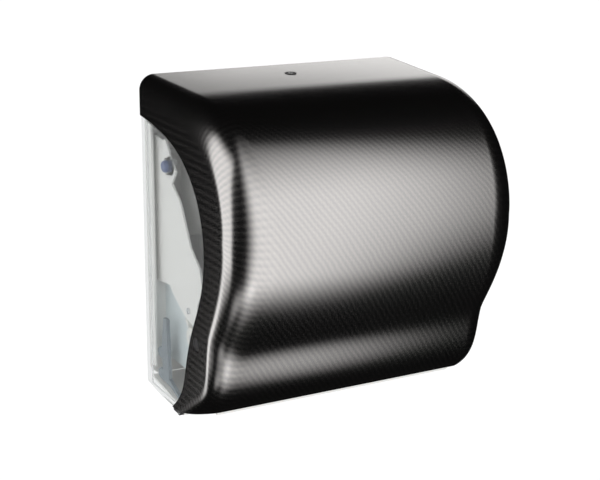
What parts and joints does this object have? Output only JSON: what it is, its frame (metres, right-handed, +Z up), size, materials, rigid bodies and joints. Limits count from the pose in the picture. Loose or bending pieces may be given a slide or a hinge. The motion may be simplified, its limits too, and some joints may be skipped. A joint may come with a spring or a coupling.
{
  "type": "lever paper towel dispenser",
  "caption": "Wall-mounted roll towel dispenser: an S-curved woven-pattern cover hinges down over frosted side windows, a sprung roll holder and a push-lever paper feed.",
  "frame": {"origin": "centre of the four wall screws, on the wall face", "axes": "+Y into the wall, -Y out of the front, +X to the right as seen from the room, +Z up"},
  "size_m": [0.3, 0.2327, 0.335],
  "materials": {
    "black_pearl": "satin black with a fine woven pattern",
    "black_plastic": "moulded",
    "frosted": "frosted translucent",
    "white_plastic": "moulded",
    "slate_blue": "moulded",
    "grey_plastic": "moulded",
    "pale_grey": "moulded",
    "steel": "brushed",
    "zinc": "bright plated",
    "rubber": "matt",
    "acetal": "natural",
    "towel": "soft embossed",
    "core_board": "kraft"
  },
  "bodies": {
    "housing": {"back_plate": "white_plastic", "roll_arm_left": "white_plastic", "roll_arm_right": "white_plastic", "bottom_cover": "white_plastic", "paper_chute": "white_plastic", "bearing_bushes": "acetal", "lever_pins": "steel", "pawl_pin": "steel", "tear_bar": "steel", "tear_bar_holder": "grey_plastic", "tear_bar_screws": "zinc", "housing_screws": "zinc", "latch_keeper": "steel", "side_window_left": "frosted", "side_window_right": "frosted", "cheek_left": "white_plastic", "cheek_right": "white_plastic", "pivot_collar_left": "frosted", "pivot_collar_right": "frosted", "pivot_cap_left": "slate_blue", "pivot_cap_right": "slate_blue", "chute_clip_left": "grey_plastic", "chute_clip_right": "grey_plastic", "mechanism_frame_left": "pale_grey", "mechanism_frame_right": "pale_grey"},
    "cover": {"front_cover": "black_pearl", "lock_escutcheon": "black_plastic", "lever_cap_left": "black_plastic", "lever_cap_right": "black_plastic", "hinge_pin_left": "steel", "hinge_pin_right": "steel"},
    "lock": {"lock_barrel": "zinc", "lock_cam": "steel"},
    "roll": {"paper_roll": "towel", "roll_core": "core_board", "roll_hub_left": "slate_blue", "roll_hub_right": "slate_blue"},
    "plunger": {"plunger": "acetal", "plunger_knob": "slate_blue", "plunger_spring": "steel"},
    "drive_roller": {"drive_shaft": "steel", "drive_core": "acetal", "drive_sleeves": "rubber", "ratchet_wheel": "acetal", "feed_knob": "slate_blue"},
    "pinch_roller": {"pinch_shaft": "steel", "pinch_rollers": "rubber"},
    "lever": {"lever_paddle": "white_plastic", "lever_arm_left": "white_plastic", "lever_arm_right": "white_plastic", "sector_gear": "acetal"},
    "pinion": {"clutch_pinion": "acetal"},
    "pawl": {"pawl": "acetal"}
  },
  "joints": [
    {"name": "cover_hinge", "type": "hinge", "parent": "housing", "child": "cover", "pos_m": [0, -0.0705, -0.173], "axis": [1, 0, 0], "range_deg": [0, 95]},
    {"name": "lock_turn", "type": "hinge", "parent": "cover", "child": "lock", "pos_m": [-0.004, -0.0416, 0.15], "axis": [0, 0, 1], "range_deg": [0, 90]},
    {"name": "roll_spin", "type": "hinge", "parent": "housing", "child": "roll", "pos_m": [0, -0.112, 0.036], "axis": [1, 0, 0], "continuous": true},
    {"name": "plunger_slide", "type": "slide", "parent": "housing", "child": "plunger", "axis": [1, 0, 0], "range_m": [0, 0.008], "stiffness_N_per_m": 400, "springref_m": -0.004, "deforming": ["plunger_spring"]},
    {"name": "drive_spin", "type": "hinge", "parent": "housing", "child": "drive_roller", "pos_m": [0, -0.07913, -0.09447], "axis": [1, 0, 0], "continuous": true},
    {"name": "pinch_spin", "type": "hinge", "parent": "housing", "child": "pinch_roller", "pos_m": [0, -0.10373, -0.08834], "axis": [1, 0, 0], "continuous": true},
    {"name": "lever_push", "type": "hinge", "parent": "housing", "child": "lever", "pos_m": [0, -0.1296, -0.08], "axis": [1, 0, 0], "range_deg": [0, 22], "stiffness_Nm_per_rad": 0.6, "springref_deg": -17.19},
    {"name": "pinion_spin", "type": "hinge", "parent": "housing", "child": "pinion", "pos_m": [0, -0.07913, -0.09447], "axis": [1, 0, 0], "range_deg": [-90, 2]},
    {"name": "pawl_pivot", "type": "hinge", "parent": "housing", "child": "pawl", "pos_m": [0, -0.066, -0.076], "axis": [1, 0, 0], "range_deg": [0, 14], "stiffness_Nm_per_rad": 0.02, "springref_deg": -5.73}
  ],
  "couplings": [
    {"joint": "pinch_spin", "follows": "drive_spin", "ratio": -1.7778},
    {"joint": "pinion_spin", "follows": "lever_push", "ratio": -4}
  ]
}
